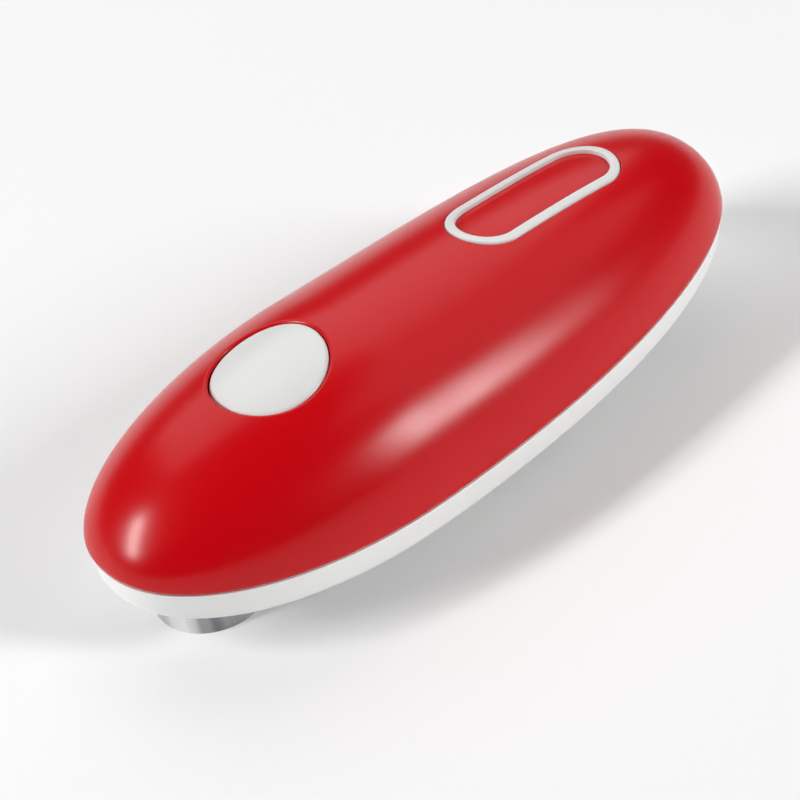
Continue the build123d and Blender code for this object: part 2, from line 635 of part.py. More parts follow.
with BuildPart() as cutter_carrier:
    disc(CARRIER_AXIS, JOURNAL_RADIUS, JOURNAL_Z, FRICTION_Z)
    disc(CARRIER_AXIS, SPIGOT_RADIUS, FRICTION_Z, FRICTION_Z + FRICTION_HEIGHT)
    disc(CUTTER_AXIS, HUB_RADIUS, CUTTER_Z + CUTTER_THICKNESS + FACE_GAP, JOURNAL_Z)
    disc(CUTTER_AXIS, CUTTER_PIN_RADIUS, 0, JOURNAL_Z, mode=Mode.SUBTRACT)
cutter_carrier.part.label = "cutter_carrier"
export_step(cutter_carrier.part, "parts/cutter_carrier.step")

with BuildPart() as friction_disc:
    disc(CARRIER_AXIS, FRICTION_DISC_RADIUS, FRICTION_Z, FRICTION_Z + FRICTION_HEIGHT)
    disc(CARRIER_AXIS, SPIGOT_RADIUS, FRICTION_Z, FRICTION_Z + FRICTION_HEIGHT, mode=Mode.SUBTRACT)
friction_disc.part.label = "friction_disc"
export_step(friction_disc.part, "parts/friction_disc.step")

with BuildPart() as friction_tyre:
    disc(CARRIER_AXIS, TYRE_RADIUS, FRICTION_Z, FRICTION_Z + FRICTION_HEIGHT)
    disc(CARRIER_AXIS, FRICTION_DISC_RADIUS, FRICTION_Z, FRICTION_Z + FRICTION_HEIGHT, mode=Mode.SUBTRACT)
friction_tyre.part.label = "friction_tyre"
export_step(friction_tyre.part, "parts/friction_tyre.step")

with BuildPart() as cutter_pin:
    pin_head_top_z = CUTTER_Z - FACE_GAP / 2
    disc(CUTTER_AXIS, CUTTER_PIN_HEAD_RADIUS, pin_head_top_z - CUTTER_PIN_HEAD, pin_head_top_z)
    disc(CUTTER_AXIS, CUTTER_PIN_RADIUS, pin_head_top_z, JOURNAL_Z)
cutter_pin.part.label = "cutter_pin"
export_step(cutter_pin.part, "parts/cutter_pin.step")

with BuildPart() as cutting_wheel:
    with Locations((*CUTTER_AXIS, CUTTER_Z)):
        Cone(CUTTER_RADIUS - CUTTER_BEVEL, CUTTER_RADIUS, CUTTER_THICKNESS - CUTTER_EDGE, align=FOOT)
    disc(CUTTER_AXIS, CUTTER_RADIUS, CUTTER_Z + CUTTER_THICKNESS - CUTTER_EDGE, CUTTER_Z + CUTTER_THICKNESS)
    disc(CUTTER_AXIS, CUTTER_PIN_RADIUS + RUNNING_FIT, 0, CUTTER_Z + CUTTER_THICKNESS, mode=Mode.SUBTRACT)
cutting_wheel.part.label = "cutting_wheel"
export_step(cutting_wheel.part, "parts/cutting_wheel.step")

# Rim drive: serrated wheel and final gear on one shaft
with BuildPart() as drive_wheel:
    with BuildSketch(Plane.XY.offset(DRIVE_WHEEL_Z)) as serrated:
        with Locations(DRIVE_AXIS):
            Circle(DRIVE_WHEEL_RADIUS)
            with PolarLocations(DRIVE_WHEEL_RADIUS, SERRATIONS):
                Rectangle(2 * SERRATION_DEPTH, SERRATION_DEPTH, mode=Mode.SUBTRACT)
            Circle(DRIVE_SHAFT_RADIUS, mode=Mode.SUBTRACT)
    extrude(amount=DRIVE_WHEEL_HEIGHT)
drive_wheel.part.label = "drive_wheel"
export_step(drive_wheel.part, "parts/drive_wheel.step")

with BuildPart() as drive_shaft:
    disc(DRIVE_AXIS, DRIVE_SHAFT_RADIUS, DRIVE_WHEEL_Z, DRIVE_SHAFT_END_Z)
drive_shaft.part.label = "drive_shaft"
export_step(drive_shaft.part, "parts/drive_shaft.step")

with BuildPart() as drive_bush:
    disc(DRIVE_AXIS, DRIVE_SHAFT_RADIUS + BUSH_WALL, BELLY_Z, BASE_PLATE_TOP_Z)
    bush_flange_radius = DRIVE_SHAFT_RADIUS + BUSH_WALL + DRIVE_BUSH_FLANGE
    disc(DRIVE_AXIS, bush_flange_radius, BASE_PLATE_TOP_Z, FRICTION_Z - LOOSE_FIT)
    disc(DRIVE_AXIS, DRIVE_SHAFT_RADIUS + RUNNING_FIT, 0, PARTING_Z, mode=Mode.SUBTRACT)
drive_bush.part.label = "drive_bush"
export_step(drive_bush.part, "parts/drive_bush.step")

with BuildPart() as final_gear:
    add(wheel(FINAL_MODULE, FINAL_TEETH, DRIVE_AXIS, FINAL_LEVEL_Z))
    disc(DRIVE_AXIS, FRICTION_HUB_RADIUS, FRICTION_Z, FINAL_LEVEL_Z)
    disc(DRIVE_AXIS, DRIVE_SHAFT_RADIUS, 0, COVER_TOP_Z, mode=Mode.SUBTRACT)
final_gear.part.label = "final_gear"
export_step(final_gear.part, "parts/final_gear.step")

# Head plate that rides on the rim, with its screws
with BuildPart() as head_plate:
    block(HEAD_PLATE_FRONT_X, HEAD_PLATE_REAR_X, HEAD_PLATE_HALF_WIDTH, BELLY_Z, HEAD_PLATE_TOP_Z)
    disc(CARRIER_AXIS, HEAD_NOTCH_RADIUS, 0, HEAD_PLATE_TOP_Z, mode=Mode.SUBTRACT)
    disc(DRIVE_AXIS, DRIVE_SHAFT_RADIUS + BUSH_WALL, 0, HEAD_PLATE_TOP_Z, mode=Mode.SUBTRACT)
    for place in mirrored(HEAD_SCREW):
        disc(place, SMALL_SCREW_RADIUS, 0, HEAD_PLATE_TOP_Z, mode=Mode.SUBTRACT)
head_plate.part.label = "head_plate"
export_step(head_plate.part, "parts/head_plate.step")

with BuildPart() as head_screws:
    for place in mirrored(HEAD_SCREW):
        add(small_screw(place, BELLY_Z, BASE_PLATE_TOP_Z))
head_screws.part.label = "head_screws"
export_step(head_screws.part, "parts/head_screws.step")

# Lid magnet in its steel cup
with BuildPart() as lid_magnet:
    disc((MAGNET_X, 0), MAGNET_RADIUS, MAGNET_FACE_Z, MAGNET_FACE_Z + MAGNET_THICKNESS)
lid_magnet.part.label = "lid_magnet"
export_step(lid_magnet.part, "parts/lid_magnet.step")

with BuildPart() as magnet_cup:
    disc((MAGNET_X, 0), MAGNET_RADIUS + CUP_WALL, CUP_FACE_Z, MAGNET_CUP_TOP_Z)
    disc((MAGNET_X, 0), MAGNET_RADIUS, CUP_FACE_Z, MAGNET_FACE_Z + MAGNET_THICKNESS, mode=Mode.SUBTRACT)
magnet_cup.part.label = "magnet_cup"
export_step(magnet_cup.part, "parts/magnet_cup.step")

# Gear train
with BuildPart() as gear_axles:
    for place in (SECOND_AXIS, FIRST_AXIS):
        disc(place, AXLE_RADIUS, BASE_PLATE_Z, COVER_TOP_Z)
gear_axles.part.label = "gear_axles"
export_step(gear_axles.part, "parts/gear_axles.step")

with BuildPart() as second_gear:
    add(wheel(SECOND_MODULE, SECOND_TEETH, SECOND_AXIS, SECOND_LEVEL_Z))
    pinion_low_z = SECOND_LEVEL_Z + TOOTH_WIDTH
    add(pinion(FINAL_MODULE, PINION_TEETH, SECOND_AXIS, pinion_low_z, FINAL_LEVEL_Z + TOOTH_WIDTH))
    disc(SECOND_AXIS, GEAR_HUB_RADIUS, TOOTH_LEVEL_Z, SECOND_LEVEL_Z)
    disc(SECOND_AXIS, AXLE_RADIUS + RUNNING_FIT, 0, COVER_TOP_Z, mode=Mode.SUBTRACT)
second_gear.part.label = "second_gear"
export_step(second_gear.part, "parts/second_gear.step")

with BuildPart() as first_gear:
    add(wheel(FIRST_MODULE, FIRST_TEETH, FIRST_AXIS, TOOTH_LEVEL_Z))
    pinion_low_z = TOOTH_LEVEL_Z + TOOTH_WIDTH
    add(pinion(SECOND_MODULE, PINION_TEETH, FIRST_AXIS, pinion_low_z, SECOND_LEVEL_Z + TOOTH_WIDTH))
    disc(FIRST_AXIS, AXLE_RADIUS + RUNNING_FIT, 0, COVER_TOP_Z, mode=Mode.SUBTRACT)
first_gear.part.label = "first_gear"
export_step(first_gear.part, "parts/first_gear.step")

with BuildPart() as motor_pinion:
    pinion_top_z = TOOTH_LEVEL_Z + TOOTH_WIDTH
    add(pinion(FIRST_MODULE, MOTOR_PINION_TEETH, MOTOR_AXIS, TOOTH_LEVEL_Z, pinion_top_z))
    disc(MOTOR_AXIS, MOTOR_SHAFT_RADIUS, 0, PARTING_Z + TOOTH_WIDTH, mode=Mode.SUBTRACT)
motor_pinion.part.label = "motor_pinion"
export_step(motor_pinion.part, "parts/motor_pinion.step")

# Motor
with BuildPart() as motor_shaft:
    disc(MOTOR_AXIS, MOTOR_SHAFT_RADIUS, TOOTH_LEVEL_Z, TOOTH_LEVEL_Z + MOTOR_SHAFT_LENGTH)
motor_shaft.part.label = "motor_shaft"
export_step(motor_shaft.part, "parts/motor_shaft.step")

with BuildPart() as motor_can:
    disc(MOTOR_AXIS, MOTOR_RADIUS, MOTOR_Z, MOTOR_CAN_TOP_Z)
    block(
        MOTOR_AXIS[0] - MOTOR_FLATS / 2,
        MOTOR_AXIS[0] + MOTOR_FLATS / 2,
        MOTOR_RADIUS,
        MOTOR_Z,
        MOTOR_CAN_TOP_Z,
        mode=Mode.INTERSECT,
    )
    disc(MOTOR_AXIS, MOTOR_BOSS_RADIUS, MOTOR_Z - BRACKET_THICKNESS, MOTOR_Z)
    shaft_pocket_z = TOOTH_LEVEL_Z + MOTOR_SHAFT_LENGTH + LOOSE_FIT
    disc(MOTOR_AXIS, MOTOR_SHAFT_RADIUS + RUNNING_FIT, 0, shaft_pocket_z, mode=Mode.SUBTRACT)
motor_can.part.label = "motor_can"
export_step(motor_can.part, "parts/motor_can.step")

with BuildPart() as motor_end_cap:
    disc(MOTOR_AXIS, MOTOR_CAP_RADIUS, MOTOR_CAN_TOP_Z, MOTOR_CAP_TOP_Z - MOTOR_CAP_STEP)
    block(
        MOTOR_AXIS[0] - MOTOR_FLATS / 2 + MOTOR_CAP_STEP,
        MOTOR_AXIS[0] + MOTOR_FLATS / 2 - MOTOR_CAP_STEP,
        MOTOR_RADIUS,
        MOTOR_CAN_TOP_Z,
        MOTOR_CAP_TOP_Z,
        mode=Mode.INTERSECT,
    )
    disc(MOTOR_AXIS, MOTOR_BOSS_RADIUS, MOTOR_CAN_TOP_Z, MOTOR_CAP_TOP_Z)
motor_end_cap.part.label = "motor_end_cap"
export_step(motor_end_cap.part, "parts/motor_end_cap.step")

with BuildPart() as motor_bracket:
    block(
        MOTOR_AXIS[0] - BRACKET_HALF_LENGTH,
        MOTOR_AXIS[0] + BRACKET_HALF_LENGTH,
        BRACKET_HALF_WIDTH,
        MOTOR_Z - BRACKET_THICKNESS,
        MOTOR_Z,
    )
    for leg in BRACKET_LEGS:
        for place in mirrored(leg):
            disc(place, POST_RADIUS, BASE_PLATE_TOP_Z, MOTOR_Z - BRACKET_THICKNESS)
            disc(place, SMALL_SCREW_RADIUS, BASE_PLATE_TOP_Z, MOTOR_Z, mode=Mode.SUBTRACT)
    disc(MOTOR_AXIS, MOTOR_BOSS_RADIUS, 0, MOTOR_Z, mode=Mode.SUBTRACT)
    disc(FIRST_AXIS, FIRST_CLEARANCE_RADIUS, 0, MOTOR_Z, mode=Mode.SUBTRACT)
motor_bracket.part.label = "motor_bracket"
export_step(motor_bracket.part, "parts/motor_bracket.step")

# Gearbox cover on four posts, and the screws of the gearbox
with BuildPart() as gearbox_cover:
    block(COVER_FRONT_X, COVER_REAR_X, COVER_HALF_WIDTH, COVER_Z, COVER_TOP_Z)
    fillet(gearbox_cover.edges().filter_by(Axis.Z), radius=COVER_CORNER)
    for place in mirrored(FRONT_POST) + mirrored(REAR_POST):
        disc(place, POST_RADIUS, BASE_PLATE_TOP_Z, COVER_Z)
        bore_top_z = BASE_PLATE_TOP_Z + SMALL_SCREW_BITE
        disc(place, SMALL_SCREW_RADIUS, BASE_PLATE_TOP_Z, bore_top_z, mode=Mode.SUBTRACT)
    disc(DRIVE_AXIS, DRIVE_SHAFT_RADIUS + RUNNING_FIT, 0, DRIVE_SHAFT_END_Z + FACE_GAP, mode=Mode.SUBTRACT)
    for place in (SECOND_AXIS, FIRST_AXIS):
        disc(place, AXLE_RADIUS, 0, COVER_TOP_Z, mode=Mode.SUBTRACT)
gearbox_cover.part.label = "gearbox_cover"
export_step(gearbox_cover.part, "parts/gearbox_cover.step")

with BuildPart() as gearbox_screws:
    for place in mirrored(FRONT_POST) + mirrored(REAR_POST):
        add(small_screw(place, BASE_PLATE_Z, BASE_PLATE_TOP_Z + SMALL_SCREW_BITE))
    for leg in BRACKET_LEGS:
        for place in mirrored(leg):
            add(small_screw(place, BASE_PLATE_Z, MOTOR_Z))
gearbox_screws.part.label = "gearbox_screws"
export_step(gearbox_screws.part, "parts/gearbox_screws.step")

# Switch under the button
with BuildPart() as switch_bracket:
    with Locations((BUTTON_X, 0, COVER_TOP_Z)):
        Box(*SWITCH_BRACKET_SIZE, SWITCH_BRACKET_THICKNESS, align=FOOT)
switch_bracket.part.label = "switch_bracket"
export_step(switch_bracket.part, "parts/switch_bracket.step")

with BuildPart() as microswitch:
    with Locations((BUTTON_X, 0, SWITCH_Z)):
        Box(SWITCH_LENGTH, SWITCH_WIDTH, SWITCH_HEIGHT, align=FOOT)
    plunger_pocket_z = PLUNGER_TOP_Z - PLUNGER_RISE - PLUNGER_DEPTH - PLUNGER_RISE
    disc((BUTTON_X, 0), PLUNGER_RADIUS + RUNNING_FIT, plunger_pocket_z, PLUNGER_TOP_Z, mode=Mode.SUBTRACT)
microswitch.part.label = "microswitch"
export_step(microswitch.part, "parts/microswitch.step")

with BuildPart() as switch_plunger:
    disc((BUTTON_X, 0), PLUNGER_RADIUS, PLUNGER_TOP_Z - PLUNGER_RISE - PLUNGER_DEPTH, PLUNGER_TOP_Z)
switch_plunger.part.label = "switch_plunger"
export_step(switch_plunger.part, "parts/switch_plunger.step")

# Batteries and contacts
with BuildPart() as battery_cells:
    for side in (1, -1):
        nub_x = CELL_REAR_X - CELL_NUB if side > 0 else CELL_FRONT_X
        body_x = CELL_FRONT_X if side > 0 else CELL_FRONT_X + CELL_NUB
        rod(body_x, side * CELL_Y, CELL_RADIUS, CELL_LENGTH)
        rod(nub_x, side * CELL_Y, CELL_NUB_RADIUS, CELL_NUB)
battery_cells.part.label = "battery_cells"
export_step(battery_cells.part, "parts/battery_cells.step")

with BuildPart() as front_contacts:
    for side in (1, -1):
        with Locations((BAY_FRONT_X + CONTACT_THICKNESS / 2, side * CELL_Y, CELL_Z)):
            Box(CONTACT_THICKNESS, CONTACT_SIZE, CONTACT_SIZE)
        bump_x = BAY_FRONT_X + CONTACT_THICKNESS
        rod(bump_x, side * CELL_Y, CONTACT_BUMP_RADIUS, CELL_FRONT_X - bump_x)
front_contacts.part.label = "front_contacts"
export_step(front_contacts.part, "parts/front_contacts.step")

with BuildPart() as rear_contact:
    with Locations((BAY_REAR_X - CONTACT_THICKNESS / 2, 0, CELL_Z)):
        Box(CONTACT_THICKNESS, 2 * CELL_Y + CONTACT_SIZE, CONTACT_SIZE)
    for side in (1, -1):
        rod(CELL_REAR_X, side * CELL_Y, CONTACT_BUMP_RADIUS, BAY_REAR_X - CONTACT_THICKNESS - CELL_REAR_X)
rear_contact.part.label = "rear_contact"
export_step(rear_contact.part, "parts/rear_contact.step")

# Case screws
with BuildPart() as case_screws:
    for place in CASE_SCREWS:
        seat_z = belly_z(place[0]) + CASE_SCREW_SINK
        tip_z = parting_z(place[0]) + CASE_SCREW_BITE
        add(screw(place, CASE_SCREW_RADIUS, CASE_SCREW_HEAD_RADIUS, CASE_SCREW_HEAD, seat_z, tip_z))
case_screws.part.label = "case_screws"
export_step(case_screws.part, "parts/case_screws.step")
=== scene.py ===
"""Looks of the hand-held electric can opener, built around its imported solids.

Metres, +Z up, nose towards -X.
"""

import json
from math import asin, cos, pi, radians, sin, sqrt, tan

import bmesh
import bpy
from mathutils import Matrix, Quaternion, Vector


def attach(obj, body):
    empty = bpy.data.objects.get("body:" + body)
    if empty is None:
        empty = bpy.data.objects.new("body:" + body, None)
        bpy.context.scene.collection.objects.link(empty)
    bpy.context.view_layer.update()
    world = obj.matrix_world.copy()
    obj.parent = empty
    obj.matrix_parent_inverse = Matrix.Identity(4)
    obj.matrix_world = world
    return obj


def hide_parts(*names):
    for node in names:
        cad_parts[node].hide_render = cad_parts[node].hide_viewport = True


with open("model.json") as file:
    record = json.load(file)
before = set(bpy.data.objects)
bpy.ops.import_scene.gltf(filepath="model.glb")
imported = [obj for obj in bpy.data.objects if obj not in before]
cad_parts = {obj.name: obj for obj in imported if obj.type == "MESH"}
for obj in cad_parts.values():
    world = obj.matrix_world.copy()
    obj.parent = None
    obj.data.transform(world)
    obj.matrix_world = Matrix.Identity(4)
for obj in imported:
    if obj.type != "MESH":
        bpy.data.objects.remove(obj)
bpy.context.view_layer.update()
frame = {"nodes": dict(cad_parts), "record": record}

MM = 0.001

# Body shape, as in the solids
NOSE_X = -95.0 * MM
TAIL_X = 95.0 * MM
WIDEST_X = -24.0 * MM
HALF_WIDTH = 36.2 * MM
CROWN_RISE = 32.6 * MM
NOSE_PLAN_POWER = 2.2
TAIL_PLAN_POWER = 2.7
NOSE_CROWN_POWER = 1.7
TAIL_CROWN_POWER = 2.5
PARTING_Z = 16.0 * MM
PARTING_LIFT = 7.6 * MM
PAN_DEPTH = 10.0 * MM
WALL = 2.2 * MM

# Rounding of the red shell's lower edge, which the solid lacks
SHELL_EDGE = 1.1 * MM

# Push button and its hole
BUTTON_X = -43.4 * MM
BUTTON_RADIUS = 13.7 * MM
BUTTON_PROUD = 0.0
BUTTON_DOME = 0.55 * MM
BUTTON_LEAN = 2.2
BUTTON_EDGE = 0.9 * MM
BUTTON_DEPTH = 5.0 * MM
HOLE_RADIUS = 13.95 * MM
HOLE_LIP = 0.8 * MM

# Trim ring, its pocket and the bare panel inside it
RING_X = 40.1 * MM
RING_LENGTH = 51.5 * MM
RING_WIDTH = 20.4 * MM
RING_BAND = 2.4 * MM
RING_PROUD = 0.25 * MM
RING_SEAT = 1.2 * MM
RING_GAP = 0.2 * MM
RING_EDGE = 0.5 * MM
POCKET_LENGTH = RING_LENGTH + 2 * RING_GAP
POCKET_WIDTH = RING_WIDTH + 2 * RING_GAP
POCKET_LIP = 0.35 * MM
PANEL_DEPTH = 1.0 * MM

# Heights between which the openings are cut through the crown
CUT_LOW_Z = 20.0 * MM
CUT_HIGH_Z = 60.0 * MM

# Screw heads on the +Y side, which the other side mirrors, and the head of the cutter pin
CASE_SCREWS = ((-58.0 * MM, 23.0 * MM), (8.0 * MM, 26.0 * MM), (56.0 * MM, 21.5 * MM))
CASE_SCREW_RISE = 1.2 * MM
HEAD_SCREW = (-44.5 * MM, 10.0 * MM)
HEAD_SCREW_FACE_Z = 5.1 * MM
CUTTER_PIN = (-75.0 * MM, 0.0)
CUTTER_PIN_FACE_Z = 0.5 * MM
RECESS_WIDTH = 0.7 * MM
CASE_RECESS = 3.2 * MM
HEAD_RECESS = 2.4 * MM
PIN_SLOT = 5.6 * MM

# Grip ribs in the thumb scoop of the battery cover
SCOOP_X = 58.8 * MM
SCOOP_RADIUS = 24.0 * MM
SCOOP_DEPTH = 1.1 * MM
RIB_OFFSETS = (-3.6 * MM, -1.8 * MM, 0.0, 1.8 * MM, 3.6 * MM)
RIB_HALF_LENGTH = 4.2 * MM
RIB_HALF_WIDTH = 0.3 * MM
RIB_PROUD = 0.35 * MM

# How far the painted shade bars of the driver recesses, and the ribs, reach through the face that they lie
# on
FACE_OVERLAP = 0.02 * MM

# Mesh fineness
ALONG = 200
ACROSS = 140
AROUND = 160
EDGE_STEPS = 6
PANEL_RINGS = 12
BUTTON_RINGS = 12
RIB_STEPS = 12
RIB_ROUND_STEPS = 4
STRAIGHT_STEP = 1.2 * MM
WELD_DISTANCE = 0.0001 * MM
CREASE_ANGLE = 40.0
RIB_CREASE_ANGLE = 60.0
UNIT_SQUARE = ((-1.0, -1.0), (1.0, -1.0), (1.0, 1.0), (-1.0, 1.0))

# Noise in the materials, with scales per metre, and the strength of their relief
NOISE_MIDDLE = 0.5
TONE_SCALE = 18.0
TONE_DETAIL = 3.0
GLOSS_SCALE = 60.0
GLOSS_DETAIL = 5.0
GRAIN_DETAIL = 2.0
PLASTIC_RELIEF_STRENGTH = 0.3
METAL_GLOSS_SCALE = 90.0
METAL_DETAIL = 4.0
METAL_RELIEF_STRENGTH = 0.2

# Camera, fitted to the photograph
CAMERA_PLACE = (-0.1859, -0.2486, 0.2684)
CAMERA_RIGHT = (0.73061, -0.66668, -0.1475)
CAMERA_UP = (0.51973, 0.40289, 0.75336)
CLIP_START = 0.01
FOCAL_PIXELS = 1652.2
FRAME_PIXELS = 800.0
SENSOR = 36.0

# Lamps and studio air
LIGHT_AIM = (0.0, 0.0, 0.02)
LAMP_DISTANCE = 2.75
HORIZON_LEVEL = 0.0763
ZENITH_LEVEL = 0.0076
DARK_HEIGHT = 0.58

# Floor
FLOOR_REACH = 8.0
FLOOR_LEVEL = 0.91
FLOOR_TONE = (FLOOR_LEVEL, FLOOR_LEVEL, FLOOR_LEVEL, 1.0)
FLOOR_ROUGHNESS = 0.9

# Distances from the middle over which the floor fades into haze
HAZE_NEAR = 0.3
HAZE_FAR = 0.8

# Upward part of a direction over which the pale far wall fades out
FAR_WALL_LOW = 0.05
FAR_WALL_HIGH = 0.12


def share(run, power):
    """Part of the full size that is left after a run of 0 to 1 towards an end."""
    return max(1.0 - run**power, 0.0) ** (1.0 / power)


def run_at(x, inset=0.0):
    """How far x lies towards its end, from 0 to 1, and whether that end is the nose."""
    if x < WIDEST_X:
        return min((WIDEST_X - x) / (WIDEST_X - NOSE_X - inset), 1.0), True
    return min((x - WIDEST_X) / (TAIL_X - WIDEST_X - inset), 1.0), False


def parting_z(x):
    """Height of the parting line, which rises towards both ends."""
    return PARTING_Z + PARTING_LIFT * (x / TAIL_X) ** 2


def half_width(x, inset=0.0):
    """Half width of the body at x."""
    run, on_nose = run_at(x, inset)
    return (HALF_WIDTH - inset) * share(run, NOSE_PLAN_POWER if on_nose else TAIL_PLAN_POWER)


def rise(x, inset=0.0):
    """Height of the crown above the parting line at x."""
    run, on_nose = run_at(x, inset)
    return (CROWN_RISE - inset) * share(run, NOSE_CROWN_POWER if on_nose else TAIL_CROWN_POWER)


def crown_z(x, y):
    """Height of the crown skin above a place in plan."""
    across = y / half_width(x)
    return parting_z(x) + rise(x) * sqrt(max(1.0 - across * across, 0.0))


# Meshes


def smooth(piece, crease_angle):
    """Smooth shading with edges sharper than the angle kept crisp."""
    piece.data.polygons.foreach_set("use_smooth", [True] * len(piece.data.polygons))
    piece.data.set_sharp_from_angle(angle=radians(crease_angle))


def new_piece(name, points, faces, body, material, crease_angle=CREASE_ANGLE):
    """Mesh piece that rides on a body, where one is named, smooth apart from its sharp edges."""
    mesh = bpy.data.meshes.new(name)
    mesh.from_pydata(points, [], faces)
    work = bmesh.new()
    work.from_mesh(mesh)
    bmesh.ops.remove_doubles(work, verts=work.verts, dist=WELD_DISTANCE)
    bmesh.ops.recalc_face_normals(work, faces=work.faces)
    work.to_mesh(mesh)
    work.free()
    piece = bpy.data.objects.new(name, mesh)
    bpy.context.collection.objects.link(piece)
    smooth(piece, crease_angle)
    piece.data.materials.append(material)
    if body:
        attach(piece, body)
    return piece


def grid_faces(rows, columns, closed=False):
    """Quads of a grid of points, row by row."""
    faces = []
    for row in range(rows - 1):
        for column in range(columns if closed else columns - 1):
            after = (column + 1) % columns
            low = row * columns
            high = low + columns
            faces.append((low + column, low + after, high + after, high + column))
    return faces


def prism(outline, low_z, high_z):
    """Points and faces of an upright prism."""
    count = len(outline)
    points = [(x, y, z) for z in (low_z, high_z) for x, y in outline]
    faces = [tuple(range(count)), tuple(range(2 * count - 1, count - 1, -1))]
    for index in range(count):
        after = (index + 1) % count
        faces.append((index, after, count + after, count + index))
    return points, faces


def joined(shapes):
    """One list of points and faces from several."""
    points = []
    faces = []
    for more_points, more_faces in shapes:
        faces += [tuple(len(points) + index for index in face) for face in more_faces]
        points += more_points
    return points, faces


# Materials


def new_material(name):
    """Node material with its node tree and its principled shader."""
    made = bpy.data.materials.new(name)
    made.use_nodes = True
    return made, made.node_tree, made.node_tree.nodes["Principled BSDF"]


def link(tree, source, output, target, socket):
    """Wire one node to another."""
    tree.links.new(source.outputs[output], target.inputs[socket])


def noise(tree, scale, detail, fineness=(1.0, 1.0, 1.0), shift=0.0):
    """Noise in object space, scaled per metre, finer along some axes and shifted along X."""
    place = tree.nodes.new("ShaderNodeTexCoord")
    mapping = tree.nodes.new("ShaderNodeMapping")
    mapping.inputs["Scale"].default_value = fineness
    mapping.inputs["Location"].default_value = (shift, 0.0, 0.0)
    texture = tree.nodes.new("ShaderNodeTexNoise")
    texture.inputs["Scale"].default_value = scale
    texture.inputs["Detail"].default_value = detail
    link(tree, place, "Object", mapping, "Vector")
    link(tree, mapping, "Vector", texture, "Vector")
    return texture


def vary(tree, texture, limits, shader, socket):
    """Let a texture move a shader value between two limits."""
    span = tree.nodes.new("ShaderNodeMapRange")
    span.clamp = False
    span.inputs["To Min"].default_value, span.inputs["To Max"].default_value = limits
    link(tree, texture, "Fac", span, "Value")
    link(tree, span, "Result", shader, socket)


def tint(tree, texture, dark, light, shader, spread=0.5):
    """Let a texture move the colour between two tones, over a spread round its middle value."""
    ramp = tree.nodes.new("ShaderNodeValToRGB")
    ramp.color_ramp.elements[0].position = NOISE_MIDDLE - spread
    ramp.color_ramp.elements[0].color = (*dark, 1.0)
    ramp.color_ramp.elements[1].position = NOISE_MIDDLE + spread
    ramp.color_ramp.elements[1].color = (*light, 1.0)
    link(tree, texture, "Fac", ramp, "Fac")
    link(tree, ramp, "Color", shader, "Base Color")


def bump(tree, texture, distance, strength, shader):
    """Fine surface relief from a texture."""
    relief = tree.nodes.new("ShaderNodeBump")
    relief.inputs["Strength"].default_value = strength
    relief.inputs["Distance"].default_value = distance
    link(tree, texture, "Fac", relief, "Height")
    link(tree, relief, "Normal", shader, "Normal")


def plastic(name, dark, light, rough, gloss=0.5, grain=2600.0, relief=0.02 * MM):
    """Moulded plastic with slight tone changes, handling marks in its gloss and a fine skin grain."""
    made, tree, shader = new_material(name)
    tint(tree, noise(tree, TONE_SCALE, TONE_DETAIL), dark, light, shader)
    vary(tree, noise(tree, GLOSS_SCALE, GLOSS_DETAIL), rough, shader, "Roughness")
    bump(tree, noise(tree, grain, GRAIN_DETAIL), relief, PLASTIC_RELIEF_STRENGTH, shader)
    shader.inputs["Specular IOR Level"].default_value = gloss
    return made


def metal(
    name, dark, light, rough, fineness=(1.0, 1.0, 1.0), scale=400.0, relief=0.01 * MM, spread=0.5, shift=0.0
):
    """Metal with tool marks, which are finer along some axes; on chrome the same noise paints broad dark
    and light upright bands into the colour, as painted reflections.
    """
    made, tree, shader = new_material(name)
    shader.inputs["Metallic"].default_value = 1.0
    tool_marks_and_reflection_bands = noise(tree, scale, METAL_DETAIL, fineness, shift)
    tint(tree, tool_marks_and_reflection_bands, dark, light, shader, spread)
    vary(tree, noise(tree, METAL_GLOSS_SCALE, METAL_DETAIL), rough, shader, "Roughness")
    bump(tree, tool_marks_and_reflection_bands, relief, METAL_RELIEF_STRENGTH, shader)
    return made


# Palette, each with its darkest tone, its lightest tone and the limits of its roughness
RED = plastic("red_plastic", (0.54, 0.001, 0.004), (0.60, 0.002, 0.006), (0.20, 0.30), gloss=0.27)
# The case, button and ring are one white plastic, here in a lighter and a darker copy: painted light and
# shade, so that the button's and ring's upward faces, which catch more light, don't render brighter than
# the case's sides.
WHITE = plastic("white_plastic", (0.87, 0.87, 0.86), (0.91, 0.91, 0.90), (0.24, 0.36), gloss=0.35)
SHADED_WHITE_COPY = plastic("white_plastic_shaded_copy", (0.72, 0.72, 0.71), (0.77, 0.77, 0.76), (0.24, 0.36), gloss=0.35)
BLACK = plastic(
    "black_plastic",
    (0.012, 0.012, 0.013),
    (0.022, 0.022, 0.024),
    (0.45, 0.6),
    grain=1400.0,
    relief=0.04 * MM,
)
ACETAL = plastic("acetal", (0.72, 0.69, 0.61), (0.79, 0.76, 0.69), (0.4, 0.5))
RUBBER = plastic(
    "rubber",
    (0.010, 0.010, 0.010),
    (0.020, 0.020, 0.020),
    (0.7, 0.85),
    gloss=0.4,
    grain=900.0,
    relief=0.06 * MM,
)
WRAP = plastic("cell_wrap", (0.010, 0.04, 0.025), (0.016, 0.055, 0.036), (0.3, 0.42))
